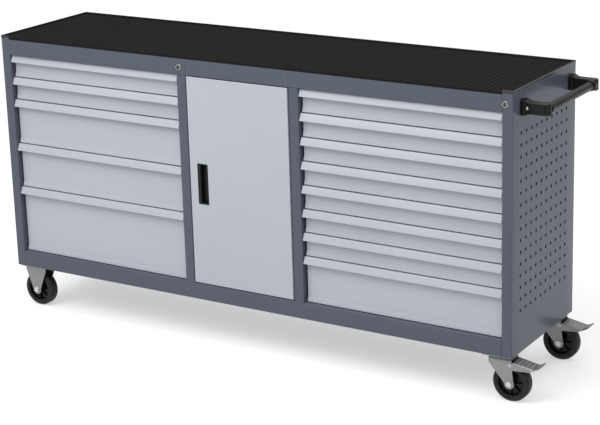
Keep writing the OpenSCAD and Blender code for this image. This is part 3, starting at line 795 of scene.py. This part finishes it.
zinc = galvanised("zinc", (0.26, 0.26, 0.264), 0.004)
wheel_radius = 62.5 * mm
fork_inner, fork_sheet_t = 22 * mm, 3 * mm
fork_outer = fork_inner + fork_sheet_t
eye = 17 * mm
eye_reach = 15.5 * mm
skirt_drop = 16 * mm


def fork(middle, axle_x, top_z, top_x, crown_r):
    """A sheet bent to a U over the wheel. Along u it goes up one leg, over the crown and down the other;
    along v it spans from the leg's left edge to its right edge, which draw in from the crown to a round
    eye about the axle."""
    foot = wheel_radius - eye
    leg = wheel_radius - eye * np.cos(np.linspace(0, np.pi / 2, 9))
    rise = np.linspace(wheel_radius, top_z - crown_r, 13)[1:]
    turn = np.linspace(0, np.pi / 2, 7)[1:]
    arc = np.column_stack([crown_r * (1 - np.cos(turn)) - fork_outer, top_z - crown_r * (1 - np.sin(turn))])
    half = np.vstack([np.column_stack([np.full(21, -fork_outer), np.concatenate([leg, rise])]), arc])
    path = np.vstack([half, half[::-1] * (-1, 1)])
    heights = path[:, 1]
    skirt = top_z - skirt_drop
    circle = np.sqrt(np.clip(eye ** 2 - (heights - wheel_radius) ** 2, 0, None))
    circle = np.where(heights < wheel_radius + 7 * mm, circle, 0)
    taper = np.clip((heights - wheel_radius) / (skirt - wheel_radius), 0, 1)
    arm = np.where(heights < wheel_radius, 0, eye_reach)
    left_edge = np.minimum(axle_x - circle, (axle_x - arm) * (1 - taper) + top_x[0] * taper)
    right_edge = np.maximum(axle_x + circle, (axle_x + arm) * (1 - taper) + top_x[1] * taper)
    share = np.linspace(0, 1, 9)
    points = np.empty((len(path), 9, 3))
    points[..., 0] = left_edge[:, None] * (1 - share) + right_edge[:, None] * share
    points[..., 1] = middle + path[:, None, 0]
    points[..., 2] = heights[:, None]
    points[[0, -1], :, 2] = foot
    return sheet_of(points, fork_sheet_t)


def hexagon(across_flats):
    """The six corners of a hexagon about the origin."""
    angle = np.radians(30 + 60 * np.arange(6))
    return across_flats / math.sqrt(3) * np.column_stack([np.cos(angle), np.sin(angle)])


def axle_bolt(axle_x, middle):
    """Shaft, washers, and a hexagon head and nut outside the legs."""
    radius, washer_t, head_end, shaft_end = 6 * mm, 1.4 * mm, 7 * mm, 9 * mm
    at = np.array([axle_x, wheel_radius])
    centre = np.array([axle_x, middle, wheel_radius])
    shaft = turned_part(np.array([(radius, -fork_outer - shaft_end), (radius, fork_outer + head_end)]),
                        centre, count=24)
    washer = bent_loop(np.array([(5.9, 0), (12.5, 0), (12.5, 1.4), (5.9, 1.4)]) * mm, 0.4 * mm, 2)
    washers = [turned_part(washer * (1, way) + (0, way * fork_outer), centre, count=32) for way in (-1, 1)]
    near, far = fork_outer + washer_t, fork_outer + head_end
    heads = [slab(bent_loop(at + hexagon(18 * mm), 0.8 * mm, 2), "y", middle + a, middle + b, 0.8 * mm)
             for a, b in ((-far, -near), (near, far))]
    return [solid_of(shaft), *[solid_of(w, round_v=True) for w in washers], *[solid_of(h) for h in heads]]


fixed_low, fixed_high = corners_of("fixed_caster_forks")
plate_half = np.array([52.5, 42.5]) * mm
fixed_x = (fixed_low[0] + fixed_high[0]) / 2
caster_y = [sum(c[1] for c in corners_of(f"wheel_left_{end_name}")) / 2 for end_name in ("front", "rear")]
swivel_low, swivel_high = corners_of("swivel_caster_plates")
swivel_x = (swivel_low[0] + swivel_high[0]) / 2
axle_x = sum(c[0] for c in corners_of("wheel_right_front")) / 2
plate_top = fixed_high[2]
plate_t = 3 * mm


def plate(x, middle):
    """The bolting plate, its corners rounded."""
    at = np.array([x, middle])
    return solid_of(slab(rounded_box(at - plate_half, at + plate_half, 8 * mm), "z",
                         plate_top - plate_t, plate_top, 0.6 * mm))


fixed_parts, fixed_bolts = [], []
fixed_top = fixed_x - 44 * mm, fixed_x + 44 * mm
for middle in caster_y:
    fixed_parts += [plate(fixed_x, middle), fork(middle, fixed_x, plate_top - plate_t, fixed_top, 5 * mm)]
    fixed_bolts += axle_bolt(fixed_x, middle)
piece("fixed_forks", fixed_parts, zinc, "carcass", ["fixed_caster_forks"])
piece("fixed_axle_bolts", fixed_bolts, bright_zinc, "carcass")

swivel_parts = []
for middle in caster_y:
    centre = np.array([swivel_x, middle, plate_top])
    race = bent_loop(np.array([(8, -3), (26, -3), (27, -5.5), (27, -8), (24, -12.4), (8, -12.4)]) * mm,
                     np.array([0.3, 1.5, 1, 1.5, 1, 0.3]) * mm, 4)
    pin = bent_loop(np.array([(0.01, -3), (6, -3), (6, -19), (10, -19), (10, -22), (0.01, -22)]) * mm,
                    np.array([0.002, 0.3, 0.3, 0.8, 0.8, 0.002]) * mm, 3)
    swivel_parts += [plate(swivel_x, middle), solid_of(turned_part(race, centre, "z"), round_v=True),
                     solid_of(turned_part(pin, centre, "z", 24), round_v=True)]
piece("swivel_plates", swivel_parts, zinc, "carcass", ["swivel_caster_plates"])

pedal_half = 28.4 * mm
pivot = np.array([swivel_x + 41 * mm, plate_top - 29 * mm])


def pivot_rivets(middle):
    """A hollow rivet on each side of the fork: a short tube with its end rolled out over the cheek."""
    profile = bent_loop(np.array([(3, 22), (3, 28.8), (5.5, 28.8), (5.5, 30.3), (2.4, 30.3), (2.4, 22)]) * mm,
                        np.array([0.1, 0.1, 0.2, 0.8, 0.9, 0.1]) * mm, 3)
    centre = np.array([pivot[0], middle, pivot[1]])
    return [solid_of(turned_part(profile * (1, way), centre, count=24), round_v=True) for way in (-1, 1)]


def pedal(middle):
    """A pressed channel. Stations run from behind the pivot to the tip. Across them goes one cheek, the
    tread and the other cheek, joined by quarter rounds. The cheeks' upper and lower edges follow two
    outlines, the ear's being a circle about the pivot, and four ribs are pressed up out of the tread."""
    ear = 9 * mm
    start = swivel_x
    tread_x = start + np.array([52, 120, 140]) * mm
    tread_z = plate_top - np.array([19, 31, 21]) * mm
    low_x = start + np.array([33.5, 46, 110, 117.5, 120, 140]) * mm
    low_z = plate_top - np.array([34.7, 46, 41, 34.5, 35, 25]) * mm
    xs = np.concatenate([pivot[0] - ear * np.cos(np.linspace(0, np.pi / 2, 9)),
                         start + np.linspace(42, 51.9, 6) * mm, start + np.linspace(52, 140, 120) * mm])
    circle = np.sqrt(np.clip(ear ** 2 - (xs - pivot[0]) ** 2, 0, None))
    upper = np.where(xs < pivot[0], pivot[1] + circle,
                     np.interp(xs, [pivot[0], *tread_x], [pivot[1] + ear, *tread_z]))
    lower = np.where(xs < low_x[0], pivot[1] - circle, np.interp(xs, low_x, low_z))
    turn = np.linspace(0, np.pi / 2, 6)
    corner = 4 * mm
    leg = np.linspace(1, 0, 6)[:-1]
    flat = np.linspace(-1, 1, 13)[1:-1]
    across = np.concatenate([np.full(5, -pedal_half), -pedal_half + corner * (1 - np.cos(turn)),
                             (pedal_half - corner) * flat, pedal_half - corner * (1 - np.cos(turn[::-1])),
                             np.full(5, pedal_half)])
    sunk = np.concatenate([np.full(5, corner), corner * (1 - np.sin(turn)), 0 * flat,
                           corner * (1 - np.sin(turn[::-1])), np.full(5, corner)])
    down = np.concatenate([leg, 0 * turn, 0 * flat, 0 * turn, leg[::-1]])
    corner_drop = np.minimum(corner, np.maximum(upper - lower, 0)) / corner
    height = upper - sunk[:, None] * corner_drop
    height -= down[:, None] * np.maximum(upper - corner * corner_drop - lower, 0)
    along = (xs - tread_x[0]) / (tread_x[1] - tread_x[0])
    wave = np.clip(np.cos(2 * np.pi * (5.2 * along - 0.1)), 0, 1) * ((along > 0.1) & (along < 0.9))
    middle_part = np.abs(across) < pedal_half - corner - 2 * mm
    height += 1 * mm * wave * middle_part[:, None]
    points = np.stack([*np.broadcast_arrays(xs, middle + across[:, None], height)], -1)
    tread_row = np.abs((across[1:] + across[:-1]) / 2) < pedal_half - 3.2 * mm
    behind = (xs[1:] + xs[:-1]) / 2 < tread_x[0]
    keep = ~(tread_row[:, None] & behind)
    return sheet_of(points, -3 * mm, keep=keep)


for end_name, middle in zip(("front", "rear"), caster_y):
    node = f"swivel_fork_{end_name}"
    crown = corners_of(node)[1][2]
    turning_top = swivel_x - 33 * mm, axle_x + 8 * mm
    piece(f"turning_fork_{end_name}", [fork(middle, axle_x, crown, turning_top, 6 * mm)], zinc,
          f"swivel_{end_name}", [node])
    piece(f"turning_bolts_{end_name}", [*axle_bolt(axle_x, middle), *pivot_rivets(middle)], bright_zinc,
          f"swivel_{end_name}")
    piece(f"pedal_channel_{end_name}", [pedal(middle)], zinc, f"pedal_{end_name}",
          [f"brake_pedal_{end_name}"])


# ---- Wheels ----
# A solid black rubber tyre on a moulded black centre with a dished web and eight ribs on each face.

tyre_rubber = Finish("tyre_rubber", {"Specular IOR Level": 0.25})
wheel_dust = tyre_rubber.noise(0.02, 4)
tyre_rubber.colour(tyre_rubber.blend(tyre_rubber.spread(wheel_dust, 0.4, 0.8), (0.0075, 0.0075, 0.0070),
                                     (0.021, 0.021, 0.020)))
tyre_rubber.roughness(0.42 + 0.3 * wheel_dust)
tyre_rubber.relief(tyre_rubber.noise(0.0012, 3), 0.0001, 0.35)
wheel_plastic = moulded_plastic("wheel_plastic", (0.0035, 0.0035, 0.0035), 0.0009, 0.16)
tyre_half = 19 * mm
tyre_edge = 6 * mm
tyre_bore = 47.1 * mm
shoulder = wheel_radius - tyre_edge
tyre_profile = bent_loop([(tyre_bore, -tyre_half), (shoulder, -tyre_half),
                          (wheel_radius, tyre_edge - tyre_half), (wheel_radius, tyre_half - tyre_edge),
                          (shoulder, tyre_half), (tyre_bore, tyre_half)],
                         np.array([0.8, 5, 5, 5, 5, 0.8]) * mm, 6)
inner_half = np.array([(6.05, -21), (13, -21), (14, -7), (39, -5.5), (42, -18), (47, -18)]) * mm
corner_radii = np.array([0.5, 1.5, 2, 3, 1, 0.5]) * mm
centre_profile = bent_loop(np.vstack([inner_half, inner_half[::-1] * (1, -1)]),
                           np.concatenate([corner_radii, corner_radii[::-1]]), 4)


def wheel(node):
    """Tyre and centre turned about the axle, and eight thin plates whose x and z are turned about it."""
    low, high = corners_of(node)
    centre = (low + high) / 2
    piece(f"{node}_tyre", [solid_of(turned_part(tyre_profile, centre, count=96), round_v=True)], tyre_rubber,
          node, [node])
    rib = slab(rounded_box((12 * mm, -14 * mm), (43 * mm, 14 * mm), 1 * mm, 2), "z",
               -1.2 * mm, 1.2 * mm, 0.5 * mm)
    angle = np.radians(45 * np.arange(8))[:, None, None]
    out, along, up = np.moveaxis(rib, -1, 0)
    ribs = np.stack(np.broadcast_arrays(out * np.cos(angle) - up * np.sin(angle), along,
                                        out * np.sin(angle) + up * np.cos(angle)), -1)
    parts = [solid_of(turned_part(centre_profile, centre, count=72), round_v=True)]
    parts += [solid_of(one + centre) for one in ribs]
    piece(f"{node}_centre", parts, wheel_plastic, node)


for side_name in ("left", "right"):
    for end_name in ("front", "rear"):
        wheel(f"wheel_{side_name}_{end_name}")
recoat("door_hinge_pins", zinc)


# ---- Studio ----
# A pale floor that glows a little, as a lit table does, under a tent of light that dims towards the
# horizon, with soft lights in front, at the side and above.

floor_mesh = bpy.data.meshes.new("studio_floor")
reach = 30.0
floor_mesh.from_pydata([(-reach, -reach, 0), (reach, -reach, 0), (reach, reach, 0), (-reach, reach, 0)], [],
                       [(0, 1, 2, 3)])
floor_finish = Finish("studio_floor", {"Roughness": 0.8, "Specular IOR Level": 0.1,
                                       "Emission Strength": 0.48, "Emission Color": (1, 1, 1)})
floor_clouds = floor_finish.noise(1.5, 2)
floor_finish.colour(floor_finish.blend(floor_clouds, (0.49, 0.49, 0.49), (0.51, 0.51, 0.51)))
floor_mesh.materials.append(floor_finish.material)
floor = bpy.data.objects.new("studio_floor", floor_mesh)
bpy.context.scene.collection.objects.link(floor)

world = bpy.data.worlds.new("studio")
world.use_nodes = True
sky = world.node_tree
direction = sky.nodes.new("ShaderNodeTexCoord").outputs["Generated"]
split = sky.nodes.new("ShaderNodeSeparateXYZ")
rise = sky.nodes.new("ShaderNodeMapRange")
rise.inputs["From Min"].default_value = 0.15
rise.inputs["From Max"].default_value = 0.60
rise.inputs["To Min"].default_value = 0.32
rise.inputs["To Max"].default_value = 1.12
sky.links.new(direction, split.inputs[0])
sky.links.new(split.outputs["Z"], rise.inputs["Value"])
sky.links.new(rise.outputs[0], sky.nodes["Background"].inputs["Strength"])
sky.nodes["Background"].inputs["Color"].default_value = (1, 1, 1, 1)
bpy.context.scene.world = world
bpy.context.scene.view_settings.view_transform = "Standard"


def soft_light(name, place, aim, size, power):
    """A square area light at a place, turned to its aim."""
    light = bpy.data.lights.new(name, "AREA")
    light.size = size
    light.energy = power
    holder = bpy.data.objects.new(name, light)
    bpy.context.scene.collection.objects.link(holder)
    holder.location = place
    away = holder.location - Vector(aim)
    holder.rotation_euler = away.to_track_quat("Z", "Y").to_euler()


soft_light("key", (-1.6, -2.9, 3.6), (0, 0, 0.6), 2.4, 75)
soft_light("side", (4.2, -1.2, 2.4), (0.8, 0, 0.6), 2.0, 6)
soft_light("top", (0.5, -1.4, 3.3), (0.3, -0.2, 0.6), 2.4, 52)


# ---- Camera ----
# It stands to the right of the handle end, above the worktop, and looks down along the front.

def aimed(yaw, pitch, roll):
    """The camera's right, up and back directions, as the columns of a matrix: forward is turned left by
    the yaw and down by the pitch, and the other two are turned about it by the roll."""
    flat = math.cos(pitch)
    forward = np.array([-math.sin(yaw) * flat, math.cos(yaw) * flat, -math.sin(pitch)])
    level = np.array([math.cos(yaw), math.sin(yaw), 0])
    upright = np.cross(level, forward)
    across = math.cos(roll) * level + math.sin(roll) * upright
    upward = math.cos(roll) * upright - math.sin(roll) * level
    return np.column_stack([across, upward, -forward])


camera_data = bpy.data.cameras.new("camera")
camera_data.sensor_width = 36
camera_data.lens = 103.2
camera_data.shift_x = -0.1
camera_data.shift_y = -0.1
camera_data.clip_end = 100
camera = bpy.data.objects.new("camera", camera_data)
bpy.context.scene.collection.objects.link(camera)
axes = aimed(math.radians(30.27), math.radians(15.5), math.radians(-1.15))
place = np.array([3.051, -4.751, 2.206])
camera.matrix_world = Matrix([*np.column_stack([axes, place]).tolist(), [0, 0, 0, 1]])
bpy.context.scene.camera = camera
